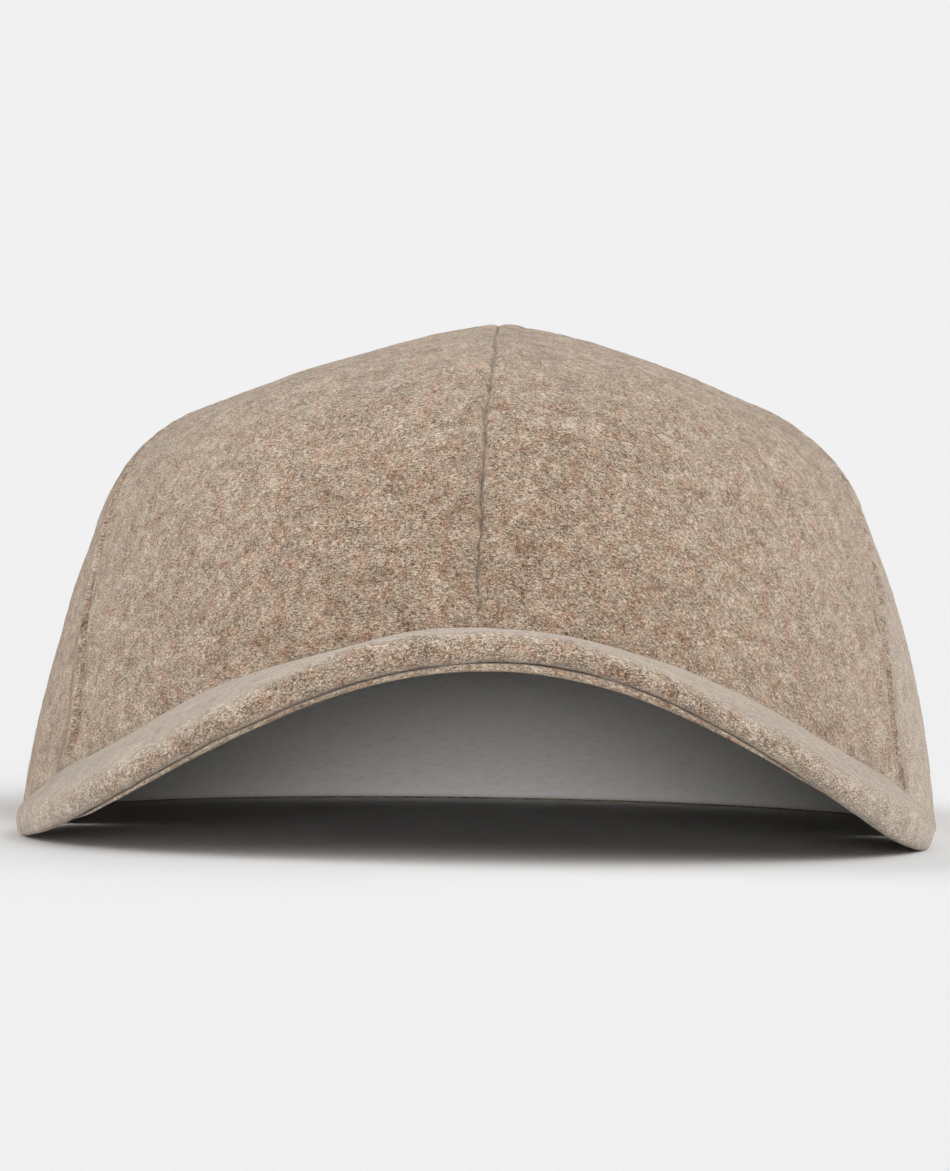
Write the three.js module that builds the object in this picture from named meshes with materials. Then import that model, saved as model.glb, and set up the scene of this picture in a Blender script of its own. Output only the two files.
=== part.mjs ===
// A soft six-panel cap with a strongly arched peak, lying on its hem. Millimetres, front towards -Y, up is +Z.
import * as THREE from "three";

// Overall placing
const CROWN_CENTRE_Y = 34.1; // puts the middle of the whole cap at y = 0
const GAP = 0.3; // clearance kept between neighbouring pieces

// Crown
const WALL = 2.0; // thickness of the wool cloth
const CROWN_TOP = 92.0; // height of the button's place above the hem
const CREST_LEAN = 3.4; // the soft crest slumps this far towards the wearer's left
const CREST_FROM = 76.0; // heights between which that slump sets in
const CREST_TO = 96.0;
const CROWN_TILT = 0.0105; // the crown leans the other way by this share of its height
const RIDGE = 1.2; // the front seam stands this much above the cloth beside it at the crest
const SEAM_DEPTH = 0.9; // a seam sinks this far into the cloth
const WELT_RISE = 0.5; // the seam allowance lifts the cloth beside it by this much
const WELT_OFFSET = 4.5; // distance from a seam to the top of that welt
const WELT_WIDTH = 2.8;

// Meridians of the crown from hem to button hole, as reach from the crown's centre and height above the hem
const CROWN_LEVELS = [
  { side: 89.2, sideZ: 0.0, front: 100.0, frontZ: 0.0, back: 100.0, backZ: 0.0 },
  { side: 86.5, sideZ: 16.0, front: 100.5, frontZ: 18.5, back: 100.5, backZ: 18.0 },
  { side: 82.4, sideZ: 34.0, front: 99.0, frontZ: 37.5, back: 99.5, backZ: 36.5 },
  { side: 77.4, sideZ: 51.0, front: 94.5, frontZ: 57.0, back: 95.5, backZ: 54.0 },
  { side: 71.1, sideZ: 66.0, front: 84.5, frontZ: 76.3, back: 86.5, backZ: 70.0 },
  { side: 60.7, sideZ: 76.6, front: 69.0, frontZ: 87.0, back: 71.0, backZ: 81.5 },
  { side: 44.3, sideZ: 83.5, front: 49.0, frontZ: 92.5, back: 50.0, backZ: 87.8 },
  { side: 23.1, sideZ: 88.2, front: 27.0, frontZ: 96.0, back: 26.0, backZ: 91.0 },
  { side: 2.8, sideZ: 92.0, front: 2.8, frontZ: 92.4, back: 2.8, backZ: 91.9 },
];

// Seams between the panels, as degrees round from the front towards the wearer's left, at hem and at top
const SEAMS = [
  { hem: -0.5, top: 0 },
  { hem: 62.5, top: 92 },
  { hem: 121, top: 136 },
  { hem: 180, top: 180 },
  { hem: 239, top: 224 },
  { hem: 297.5, top: 268 },
  { hem: 359.5, top: 360 },
];
const SEAM_BEND = 1.15; // 1 turns the seam evenly on its way up, more turns it mostly near the top
const PANEL_NAMES = [
  "front_panel_left",
  "side_panel_left",
  "back_panel_left",
  "back_panel_right",
  "side_panel_right",
  "front_panel_right",
];
const PANEL_COLUMNS = [0, 0.02, 0.055, 0.11, 0.2, 0.32, 0.44, 0.56, 0.68, 0.8, 0.89, 0.945, 0.98, 1];
const PANEL_ROWS = 17;

// Peak
const PEAK_HALF_WIDTH = 84.6; // of the outline before its sides draw in
const PEAK_OUTLINE_OFFSET = -1.0; // the outline's middle lies this far towards the wearer's right
const PEAK_DRAW_IN = 0.06; // share by which the sides draw in to meet the hem
const PEAK_DRAW_FROM = -95.0; // place from which they do
const PEAK_BACK_Y = -45.0; // where its side edge reaches the hem
const PEAK_FRONT_Y = -169.0; // middle of its front edge
const PEAK_ROUNDNESS = 2.35; // exponent of the outline, 2 is an ellipse
const PEAK_RISE = 32.2; // height of the arch under the middle
const PEAK_ARCH_SPAN = 84.0; // half-width at which the arch reaches the floor
const PEAK_ARCH_POWER = 1.6;
const PEAK_ARCH_OFFSET = 1.0; // the arch's top lies this far towards the wearer's left
const PEAK_ROOT_LIFT = { left: 1.8, right: 3.0 }; // the root's sides stand higher than the front edge's
const PEAK_TURN = 62.5; // degrees round the crown at which the peak ends
const UPPER_THICKNESS = 4.8; // board and cloth of the top side, with its rolled edge
const LOWER_THICKNESS = 1.2;
const LOWER_SETBACK = 0.9; // the lower cover stops this far inside the rolled edge
const PEAK_COLUMNS = 44;
const HEM_DROP_START = 62.7; // degrees round the crown over which the arched hem comes down to the floor
const HEM_DROP_END = 66.8;

// Sweatband
const BAND_THICKNESS = 1.2;
const BAND_HEIGHT = 30.0;
const BAND_LIFT = 0.4; // it clears the floor by this much
const BAND_COLUMNS = 72;
const BAND_ROWS = 5;

// Button
const BUTTON_RADIUS = 6.5;
const BUTTON_HEIGHT = 3.4;
const POST_RADIUS = 2.2;
const POST_DEPTH = 3.2;
const BUTTON_SIDES = 28;

const DEG = Math.PI / 180;

function smooth(a, b, x) {
  const t = Math.min(1, Math.max(0, (x - a) / (b - a)));
  return t * t * (3 - 2 * t);
}

// Value of one column of the crown table at a level counted in rows, as a smooth curve through the rows
function levelValue(column, level) {
  const last = CROWN_LEVELS.length - 1;
  const i = Math.min(last - 1, Math.max(0, Math.floor(level)));
  const t = level - i;
  const at = (k) => {
    if (k < 0) return 2 * CROWN_LEVELS[0][column] - CROWN_LEVELS[1][column];
    if (k > last) return 2 * CROWN_LEVELS[last][column] - CROWN_LEVELS[last - 1][column];
    return CROWN_LEVELS[k][column];
  };
  const [a, b, c, d] = [at(i - 1), at(i), at(i + 1), at(i + 2)];
  const cubic = 3 * b - 3 * c + d - a;
  const square = 2 * a - 5 * b + 4 * c - d;
  return b + 0.5 * t * (c - a + t * (square + t * cubic));
}

const TOP_LEVEL = CROWN_LEVELS.length - 1;

// Point of the crown's outer surface without seams, at a level and a turn in radians from the front
function bareCrown(level, turn) {
  const c = Math.cos(turn);
  const s = Math.sin(turn);
  const end = c >= 0 ? "front" : "back";
  const crease = 1 - Math.exp(-Math.abs(s) / 0.22);
  const upper = smooth(3, 6, level) * smooth(TOP_LEVEL, TOP_LEVEL - 1, level);
  const fall = RIDGE * crease * Math.exp(-((s / 0.9) ** 2)) * upper;
  const z = levelValue("sideZ", level) * s * s + levelValue(end + "Z", level) * c * c - fall;
  const side = levelValue("side", level) * s;
  const x = side + CREST_LEAN * smooth(CREST_FROM, CREST_TO, z) - CROWN_TILT * z;
  const y = CROWN_CENTRE_Y - levelValue(end, level) * c;
  return new THREE.Vector3(x, y, z * (1 + (CROWN_TILT * side) / CROWN_TOP));
}

// Outward normal of that surface, taken over a span of the turn
function crownNormal(level, turn, span = 0.01) {
  const e = 0.01;
  const up = bareCrown(Math.min(TOP_LEVEL, level + e), turn).sub(bareCrown(Math.max(0, level - e), turn));
  const round = bareCrown(level, turn + span).sub(bareCrown(level, turn - span));
  return round.cross(up).normalize();
}

function seamTurn(seam, level) {
  return (seam.hem + (seam.top - seam.hem) * (level / TOP_LEVEL) ** SEAM_BEND) * DEG;
}

// Depth of the cloth below the bare surface beside a seam, at a distance from it in millimetres
function seamRelief(distance) {
  const groove = SEAM_DEPTH * Math.exp(-((distance / 1.3) ** 2));
  const welt = WELT_RISE * Math.exp(-(((distance - WELT_OFFSET) / WELT_WIDTH) ** 2));
  return groove - welt;
}

// Height of the peak's underside over the floor at a place x, and the slope of its arch
function archHeight(x) {
  const t = (x - PEAK_ARCH_OFFSET) / PEAK_ARCH_SPAN;
  return PEAK_RISE * Math.max(0, 1 - t * t) ** PEAK_ARCH_POWER;
}

function archSlope(x) {
  return (archHeight(x + 0.05) - archHeight(x - 0.05)) / 0.1;
}

function rootLift(x) {
  const lift = x > 0 ? PEAK_ROOT_LIFT.left : PEAK_ROOT_LIFT.right;
  return lift * smooth(18, 52, Math.abs(x));
}

const PEAK_THICKNESS = LOWER_THICKNESS + GAP + UPPER_THICKNESS;

// Height of the hem over a place of the crown's rim: over the peak's top in front, on the floor elsewhere
function hemHeight(x, turnDegrees) {
  const t = Math.min(turnDegrees, 360 - turnDegrees);
  const upright = Math.hypot(1, archSlope(x));
  const overPeak = archHeight(x) + rootLift(x) + (PEAK_THICKNESS + GAP + 0.1) * upright;
  return overPeak * (1 - smooth(HEM_DROP_START, HEM_DROP_END, t));
}

// Level of the crown at which its surface meets the hem at a turn
function hemLevel(turn) {
  const degrees = (turn / DEG + 720) % 360;
  let low = 0;
  let high = 4;
  for (let i = 0; i < 40; i += 1) {
    const mid = (low + high) / 2;
    const p = bareCrown(mid, turn);
    if (p.z < hemHeight(p.x, degrees)) low = mid;
    else high = mid;
  }
  return low;
}

// A closed body from two grids of points with the same rows and columns, outer and inner
function slab(outer, inner) {
  const rows = outer.length;
  const columns = outer[0].length;
  const points = [...outer.flat(), ...inner.flat()];
  const half = rows * columns;
  const index = [];
  const quad = (a, b, c, d) => index.push(a, b, c, a, c, d);
  const at = (r, c) => r * columns + c;
  for (let r = 0; r < rows - 1; r += 1) {
    for (let c = 0; c < columns - 1; c += 1) {
      quad(at(r, c), at(r, c + 1), at(r + 1, c + 1), at(r + 1, c));
      quad(half + at(r, c), half + at(r + 1, c), half + at(r + 1, c + 1), half + at(r, c + 1));
    }
    quad(at(r, 0), at(r + 1, 0), half + at(r + 1, 0), half + at(r, 0));
    const e = columns - 1;
    quad(at(r, e), half + at(r, e), half + at(r + 1, e), at(r + 1, e));
  }
  for (let c = 0; c < columns - 1; c += 1) {
    const t = rows - 1;
    quad(at(0, c), half + at(0, c), half + at(0, c + 1), at(0, c + 1));
    quad(at(t, c), at(t, c + 1), half + at(t, c + 1), half + at(t, c));
  }
  return geometry(points, index);
}

// A closed body from closed loops of points, one after the other, with the first and last loop capped
function loft(loops, ringClosed) {
  const n = loops[0].length;
  const points = loops.flat();
  const index = [];
  const spans = ringClosed ? loops.length : loops.length - 1;
  for (let i = 0; i < spans; i += 1) {
    const a = i * n;
    const b = ((i + 1) % loops.length) * n;
    for (let k = 0; k < n; k += 1) {
      const m = (k + 1) % n;
      index.push(a + k, b + m, b + k, a + k, a + m, b + m);
    }
  }
  if (!ringClosed) {
    for (const [loop, flip] of [[0, false], [loops.length - 1, true]]) {
      const centre = new THREE.Vector3();
      loops[loop].forEach((p) => centre.addScaledVector(p, 1 / n));
      const c = points.push(centre) - 1;
      for (let k = 0; k < n; k += 1) {
        const [a, b] = [loop * n + k, loop * n + ((k + 1) % n)];
        index.push(c, flip ? a : b, flip ? b : a);
      }
    }
  }
  return geometry(points, index);
}

function geometry(points, index) {
  const g = new THREE.BufferGeometry();
  g.setAttribute("position", new THREE.Float32BufferAttribute(points.flatMap((p) => p.toArray()), 3));
  g.setIndex(index);
  g.computeVertexNormals();
  return g;
}

// One of the six panels of the crown, between two seams
function panel(from, to) {
  const outer = [];
  const inner = [];
  for (let r = 0; r <= PANEL_ROWS; r += 1) {
    const outerRow = [];
    const innerRow = [];
    for (const part of PANEL_COLUMNS) {
      const share = r / PANEL_ROWS;
      let level = 0;
      let turn = 0;
      for (let pass = 0; pass < 3; pass += 1) {
        const [a, b] = [seamTurn(from, level), seamTurn(to, level)];
        turn = a + (b - a) * part;
        const start = hemLevel(turn);
        level = start + (TOP_LEVEL - start) * share;
      }
      const [a, b] = [seamTurn(from, level), seamTurn(to, level)];
      const reach = Math.hypot(levelValue("side", level), levelValue("front", level)) / Math.SQRT2;
      const inset = (GAP / 2 + 0.06) / reach;
      turn = a + inset + (b - a - 2 * inset) * part;
      const near = Math.min(part, 1 - part) * (b - a) * reach;
      const p = bareCrown(level, turn);
      const seam = part === 0 ? a : b;
      const atSeam = part === 0 || part === 1;
      const normal = atSeam ? crownNormal(level, seam, 0.06) : crownNormal(level, turn);
      const flat = normal.clone().setZ(0).normalize();
      const relief = seamRelief(near) * smooth(TOP_LEVEL, TOP_LEVEL - 1, level) * smooth(0, 0.5, share * 6);
      const q = p.clone().addScaledVector(normal, -relief);
      const i = p.clone();
      if (r === 0) {
        const degrees = (turn / DEG + 720) % 360;
        i.addScaledVector(flat, -WALL);
        q.z = hemHeight(q.x, degrees);
        i.z = hemHeight(i.x, degrees);
      } else {
        i.addScaledVector(normal, -WALL - Math.max(0, relief));
      }
      outerRow.push(q);
      innerRow.push(i);
    }
    outer.push(outerRow);
    inner.push(innerRow);
  }
  return slab(outer, inner);
}

// Plan of the peak's root, under the crown's wall, and of its free edge, for u from -1 to 1
function rootPlan(u) {
  const turn = u * PEAK_TURN * DEG;
  const level = hemLevel(turn);
  const p = bareCrown(level, turn);
  const flat = crownNormal(level, turn).setZ(0).normalize();
  return p.addScaledVector(flat, -WALL);
}

function edgePlan(u) {
  const t = u * 90 * DEG;
  const power = 2 / PEAK_ROUNDNESS;
  const depth = PEAK_BACK_Y - PEAK_FRONT_Y;
  const y = PEAK_BACK_Y - depth * Math.max(0, Math.cos(t)) ** power;
  const drawn = 1 - PEAK_DRAW_IN * smooth(PEAK_DRAW_FROM, PEAK_BACK_Y, y);
  const x = PEAK_HALF_WIDTH * drawn * Math.sign(t) * Math.abs(Math.sin(t)) ** power;
  const offset = PEAK_OUTLINE_OFFSET * Math.cos(t) ** 0.25;
  return new THREE.Vector3(x + offset, CROWN_CENTRE_Y + y, 0);
}

// Point of the peak at u across, a distance from its root and a height through its thickness
function peakPoint(u, fromRoot, height) {
  const root = rootPlan(u);
  const edge = edgePlan(u);
  const length = Math.hypot(edge.x - root.x, edge.y - root.y);
  const v = fromRoot / length;
  const x = root.x + (edge.x - root.x) * v;
  const y = root.y + (edge.y - root.y) * v;
  const slope = archSlope(x);
  const n = Math.hypot(1, slope);
  const z = archHeight(x) + rootLift(x) * (1 - v * v);
  return new THREE.Vector3(x - (slope / n) * height, y, z + height / n);
}

// One layer of the peak as loops across it, its free edge rounded
function peakLayer(bottom, thickness, setback) {
  const loops = [];
  for (let i = 0; i <= PEAK_COLUMNS; i += 1) {
    const u = -1 + (2 * i) / PEAK_COLUMNS;
    const root = rootPlan(u);
    const edge = edgePlan(u);
    const length = Math.hypot(edge.x - root.x, edge.y - root.y) - setback;
    const round = thickness / 2;
    const flat = length - round;
    const loop = [];
    for (const share of [0, 0.25, 0.5, 0.75, 1]) {
      loop.push(peakPoint(u, flat * share, bottom + thickness));
    }
    for (const angle of [60, 30, 0, -30, -60]) {
      const out = flat + round * Math.cos(angle * DEG);
      loop.push(peakPoint(u, out, bottom + round + round * Math.sin(angle * DEG)));
    }
    for (const share of [1, 0.75, 0.5, 0.25, 0]) {
      loop.push(peakPoint(u, flat * share, bottom));
    }
    loops.push(loop);
  }
  return loft(loops, false);
}

// The sweatband inside the hem, arched over the peak's root in front
function sweatband() {
  const loops = [];
  for (let i = 0; i < BAND_COLUMNS; i += 1) {
    const turn = (i / BAND_COLUMNS) * 360 * DEG;
    const degrees = (i / BAND_COLUMNS) * 360;
    const t = Math.min(degrees, 360 - degrees);
    const outer = [];
    const inner = [];
    const startLevel = hemLevel(turn);
    const rim = bareCrown(startLevel, turn);
    const overPeak = archHeight(rim.x) + rootLift(rim.x);
    const low = BAND_LIFT + overPeak * (1 - smooth(HEM_DROP_START, HEM_DROP_END, t));
    for (let r = 0; r < BAND_ROWS; r += 1) {
      const z = low + (BAND_HEIGHT * r) / (BAND_ROWS - 1);
      let [a, b] = [0, 5];
      for (let k = 0; k < 40; k += 1) {
        const mid = (a + b) / 2;
        if (bareCrown(mid, turn).z < z) a = mid;
        else b = mid;
      }
      const level = Math.max(a, 0);
      const flat = crownNormal(level, turn).setZ(0).normalize();
      const p = bareCrown(level, turn);
      p.z = z;
      const steep = 1 + 0.35 * smooth(35, 75, z);
      const depth = (WALL + SEAM_DEPTH + GAP + 0.1) * steep;
      outer.push(p.clone().addScaledVector(flat, -depth));
      inner.push(p.clone().addScaledVector(flat, -depth - BAND_THICKNESS));
    }
    loops.push([...outer.reverse(), ...inner]);
  }
  return loft(loops, true);
}

// The cloth-covered button with its post through the hole where the panels meet
function button() {
  const left = bareCrown(TOP_LEVEL, 90 * DEG);
  const centre = bareCrown(TOP_LEVEL, -90 * DEG).add(left).multiplyScalar(0.5);
  let seat = 0;
  for (let k = 0; k < 36; k += 1) {
    for (let level = TOP_LEVEL - 1; level <= TOP_LEVEL; level += 0.02) {
      const p = bareCrown(level, k * 10 * DEG);
      if (Math.hypot(p.x - centre.x, p.y - centre.y) <= BUTTON_RADIUS) seat = Math.max(seat, p.z);
    }
  }
  seat += GAP;
  const profile = [
    [0, -POST_DEPTH],
    [POST_RADIUS, -POST_DEPTH],
    [POST_RADIUS, 0],
    [BUTTON_RADIUS - 0.6, 0],
    [BUTTON_RADIUS, 0.6],
    [BUTTON_RADIUS * 0.93, 1.6],
    [BUTTON_RADIUS * 0.72, 2.6],
    [BUTTON_RADIUS * 0.4, 3.2],
    [0, BUTTON_HEIGHT],
  ];
  const points = profile.map(([r, h]) => new THREE.Vector2(r, h));
  const g = new THREE.LatheGeometry(points, BUTTON_SIDES);
  g.rotateX(Math.PI / 2);
  g.translate(centre.x, centre.y, seat);
  return g;
}

function mesh(name, g, color, roughness) {
  const m = new THREE.Mesh(g, new THREE.MeshStandardMaterial({ color, roughness, metalness: 0 }));
  m.name = name;
  return m;
}

const WOOL = "#a99481";
const PEAK_WOOL = "#a7937f";
const BAND_CLOTH = "#cdcac5";

const cap = new THREE.Group();
PANEL_NAMES.forEach((name, i) => cap.add(mesh(name, panel(SEAMS[i], SEAMS[i + 1]), WOOL, 0.95)));
const upperBottom = LOWER_THICKNESS + GAP;
cap.add(mesh("peak_upper_cover", peakLayer(upperBottom, UPPER_THICKNESS, 0), PEAK_WOOL, 0.95));
cap.add(mesh("peak_lower_cover", peakLayer(0, LOWER_THICKNESS, LOWER_SETBACK), PEAK_WOOL, 0.95));
cap.add(mesh("sweatband", sweatband(), BAND_CLOTH, 0.9));
cap.add(mesh("top_button", button(), WOOL, 0.95));

export default cap;
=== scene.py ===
import math

import bpy
import numpy as np
from mathutils import Matrix, Vector


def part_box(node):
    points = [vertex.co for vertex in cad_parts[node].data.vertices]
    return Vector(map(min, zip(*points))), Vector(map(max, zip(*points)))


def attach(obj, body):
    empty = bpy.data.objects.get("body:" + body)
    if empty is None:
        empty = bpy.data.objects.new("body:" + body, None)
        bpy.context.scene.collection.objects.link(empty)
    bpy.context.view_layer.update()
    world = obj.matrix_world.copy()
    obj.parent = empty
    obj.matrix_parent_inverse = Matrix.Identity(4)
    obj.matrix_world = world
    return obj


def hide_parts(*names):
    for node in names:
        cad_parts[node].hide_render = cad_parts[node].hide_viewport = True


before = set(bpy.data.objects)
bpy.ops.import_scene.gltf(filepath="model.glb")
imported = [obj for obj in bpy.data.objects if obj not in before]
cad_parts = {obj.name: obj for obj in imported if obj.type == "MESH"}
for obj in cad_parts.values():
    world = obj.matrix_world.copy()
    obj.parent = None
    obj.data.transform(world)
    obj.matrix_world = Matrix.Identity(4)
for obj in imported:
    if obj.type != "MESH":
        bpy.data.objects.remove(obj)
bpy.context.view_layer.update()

bl_info = {
    "name": "Peaked Cap",
    "version": (1, 0, 0),
    "blender": (4, 5, 0),
    "location": "3D View > Sidebar > Cap",
    "description": "Dresses the packed cap: wool panels, rolled peak, sweatband, button and studio",
    "category": "Object",
}

# Lengths below are millimetres until a mesh is made, and metres after that.
MM = 0.001
CROWN_CENTRE_Y = 34.1
CROWN_TOP = 92.0
CREST_LEAN, CREST_FROM, CREST_TO = 3.4, 76.0, 96.0
CROWN_TILT = 0.0105
RIDGE = 1.2
SEAM_BEND = 1.15
# Meridians of the crown from hem to button hole: reach from its centre and height, a column for each side
LEVELS = {
    "side": (89.2, 86.5, 82.4, 77.4, 71.1, 60.7, 44.3, 23.1, 2.8),
    "side_z": (0.0, 16.0, 34.0, 51.0, 66.0, 76.6, 83.5, 88.2, 92.0),
    "front": (100.0, 100.5, 99.0, 94.5, 84.5, 69.0, 49.0, 27.0, 2.8),
    "front_z": (0.0, 18.5, 37.5, 57.0, 76.3, 87.0, 92.5, 96.0, 92.4),
    "back": (100.0, 100.5, 99.5, 95.5, 86.5, 71.0, 50.0, 26.0, 2.8),
    "back_z": (0.0, 18.0, 36.5, 54.0, 70.0, 81.5, 87.8, 91.0, 91.9),
}
TOP_LEVEL = 8.0
CROWN_WALL = 2.0
# Hem over the peak: its clearance where the root is cut, and how far it then hangs down into that clearance
HEM_CLEARANCE, HEM_HANG = 0.4, -0.3
# Seams, degrees round from the front towards the wearer's left
SEAMS = {
    "hem": (-0.5, 62.5, 121.0, 180.0, 239.0, 297.5, 359.5),
    "top": (0.0, 92.0, 136.0, 180.0, 224.0, 268.0, 360.0),
}
# How far the front seam and the two side seams wander from those lines, degrees at each level
FRONT_SEAM = {
    "level": (0.0, 2.2, 2.8, 3.2, 3.65, 4.2, 4.6, 4.9, 5.3, 5.7, 6.2, 7.0, 8.0),
    "turn": (0.0, 0.1, 0.3, 0.5, 0.9, 1.15, 1.15, 0.7, 0.2, -0.4, -0.9, -0.9, 0.0),
}
LEFT_SEAM = {
    "level": (0.0, 0.6, 0.9, 1.2, 1.9, 2.3, 2.9, 3.4, 4.0, 8.0),
    "turn": (0.0, 0.0, -1.2, -2.2, -2.3, -1.3, -0.2, 0.5, 0.0, 0.0),
}
RIGHT_SEAM = {
    "level": (0.0, 0.5, 0.75, 0.95, 1.25, 1.6, 2.1, 2.8, 3.3, 3.7, 4.0, 4.4, 4.9, 5.5, 8.0),
    "turn": (0.0, 1.4, 3.2, 4.6, 5.6, 5.0, 4.0, 3.4, 3.8, 4.8, 4.8, 3.2, 1.0, 0.0, 0.0),
}
# Each seam's look, from the front round by the wearer's left: depth of its groove, gathers along it, and
# how far its folded allowance lifts the cloth on its near and far side
SEAM_LOOK = {
    "groove": (0.62, 0.75, 0.9, 0.9, 0.9, 0.95),
    "gathers": (0.8, 0.2, 1.0, 1.0, 1.0, 0.25),
    "near": (0.5, 0.7, 1.0, 1.0, 1.0, 1.9),
    "far": (0.9, 1.9, 1.0, 1.0, 1.0, 0.8),
}
# Small wander that hand guiding leaves in a seam: sine waves of the level, their size in degrees
HAND = {"size": (0.1, 0.07, 0.07), "rate": (9, 17, 31), "phase": (1, 2, 3)}
# Widths beside a seam: its sharp groove, the wide roll into it and the welt of the folded allowance
GROOVE_WIDTH, ROLL_WIDTH, ROLL_SHARE = 0.4, 2.0, 0.22
WELT_RISES, WELT_ENDS = (0.5, 1.6), (4.0, 5.8)
# Waves along a seam: those that make its groove uneven, and the length and reach of its gathers and its sway
GROOVE_WAVES = {"length": (5.0, 2.3), "share": (0.2, 0.35), "seed": (31, 41)}
GATHER_LENGTH, GATHER_REACH = 9.0, 5.5
SWAY_LENGTH, SWAY_REACH, SWAY_HEIGHT = 26.0, 9.0, 0.18
# Where up the crown the grooves close under the nap, as a share of the levels, how far round that, how much
CLOSE_AT, CLOSE_WIDTH, CLOSE_SHARE = 0.71, 0.16, 0.65
PANELS = (
    "front_panel_left",
    "side_panel_left",
    "back_panel_left",
    "back_panel_right",
    "side_panel_right",
    "front_panel_right",
)
# Soft dents and swells of the crown: turn in degrees, height, size round, size up, push outwards
SLUMPS = {
    "turn": (47, 20, -30, -52, 33, 5, 80, -85, 150, -150, 180, 95, -90, 40, -20, 0),
    "height": (62, 66, 70, 40, 45, 52, 40, 36, 60, 48, 74, 0, 10, 90, 94, 96),
    "round": (5, 16, 18, 20, 22, 16, 26, 22, 26, 24, 30, 34, 24, 24, 12, 7),
    "up": (12, 14, 14, 22, 20, 24, 24, 20, 20, 24, 14, 13, 12, 8, 5, 5),
    "push": (-0.7, 0.5, 0.5, -0.5, -0.5, 0.3, 0.8, -0.2, -1.3, 0.9, -1.5, -1.4, 0.2, 0.7, -0.3, -0.8),
}
# Unevenness of the crown's cloth, as waves
CLOTH = {
    "length": (46.0, 15.0, 5.0, 2.6),
    "height": (0.3, 0.09, 0.035, 0.04),
    "seed": (3, 4, 5, 6),
    "count": (12, 12, 12, 24),
}
PEAK_HALF_WIDTH, PEAK_OUTLINE_OFFSET = 84.6, -1.0
PEAK_DRAW_IN, PEAK_DRAW_FROM = 0.06, -95.0
PEAK_BACK_Y, PEAK_FRONT_Y = -45.0, -169.0
PEAK_ROUNDNESS = 2.35
PEAK_RISE, PEAK_ARCH_SPAN = 32.2, 84.0
PEAK_ARCH_POWER, PEAK_ARCH_OFFSET = 1.6, 1.0
PEAK_ROOT_LIFT_LEFT, PEAK_ROOT_LIFT_RIGHT = 1.8, 3.0
PEAK_TURN = 62.5
UPPER, LOWER, LAYER_GAP = 4.8, 1.2, 0.3
HEM_DROP_START, HEM_DROP_END = 62.7, 66.8
# Radius of the peak's rolled edge in the middle, and how much rounder and lower it is at the sides
ROLL_MIDDLE, ROLL_MORE, ROLL_SINK = 2.7, 1.4, 1.2
# How far the lower cover stands back from the roll, how much further where it is hidden, and how unevenly
LIP_SETBACK, LIP_HIDDEN, LIP_UNEVEN = 0.5, 3.5, 0.25
# Waves in the cloth over the board: height, length near the edge and all over, and how the first fade inwards
PEAK_WAVE, PEAK_EDGE_WAVE, PEAK_FIELD_WAVE, PEAK_EDGE_FADE = 0.16, 11.0, 34.0, 6.0
# Points across each flat side of the peak's sections, and the one from which its cloth is measured
FLAT_STEPS = 30
EDGE_STEP = FLAT_STEPS + 6
# Sweatband: height, lift off the floor, and how far in from the crown's outer side it stands
BAND_HEIGHT, BAND_LIFT, BAND_DEPTH = 30.0, 0.4, 3.3
# Button: heights of its rim and dome, and how far it sinks into the wool
BUTTON_RIM, BUTTON_DOME, BUTTON_SINK = 0.7, 2.7, 0.3
# Along the peak's edge: how much of the lower cover shows under the roll, and how far its line hangs down
LIP = {
    "x": (-76.0, -66.0, -47.0, -20.0, -5.0, 9.0, 24.0, 34.0, 46.0, 58.0, 66.0, 82.0),
    "height": (0.05, 0.45, 0.75, 0.9, 1.1, 1.5, 1.45, 1.1, 0.55, 0.3, 0.1, 0.05),
}
DROOP = {
    "x": (-82.0, -60.0, -48.0, -35.0, -20.0, 0.0, 10.0, 25.0, 50.0, 60.0, 66.0, 73.0, 82.0),
    "depth": (0.5, 0.6, 0.7, 0.8, 0.55, 0.35, 0.15, 0.0, 0.1, 0.4, 0.8, 1.7, 1.8),
}
# Camera as the photograph has it, worked out from the cap's outline
CAMERA_DISTANCE, CAMERA_HEIGHT = 980.0, 45.6
CAMERA_TURN, CAMERA_ROLL = 0.3, 0.89
CAMERA_LENS = 154.0
FRAME_PX = (950.0, 1171.0)
FRAME_CENTRE_PX = (484.6, 586.6)
# Soft distant lamps: irradiance, degrees above the floor, degrees from the front to the picture's right,
# and how wide each looks in degrees
LAMPS = {
    "name": (
        "overhead_softbox",
        "key_softbox",
        "front_fill",
        "left_softbox",
        "right_softbox",
        "rear_softbox",
    ),
    "energy": (0.98, 1.67, 1.75, 2.53, 0.5, 1.45),
    "elevation": (60.0, 35.0, 3.0, 21.0, 15.0, 20.0),
    "azimuth": (0.0, 50.0, 0.0, -92.0, 95.0, 125.0),
    "angle": (80.0, 60.0, 16.0, 50.0, 50.0, 60.0),
}
AMBIENT, BACKDROP = 0.1, "#F1F1F1"
# Bloom of the raised nap: plain on the crown, and stronger on the peak, where the cloth is stretched over its
# board. A lit copy blooms more on the side panel at the picture's right: painted light for the light on that
# side
BLOOM = {"crown": 0.3, "sheen_lit_side": 0.66, "peak": 0.68}
# Half the range of the pattern that the shades are spread over: the less, the stronger the heather
SPREAD = {"crown": 0.153, "sheen_lit_side": 0.13, "peak": 0.135}
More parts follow.
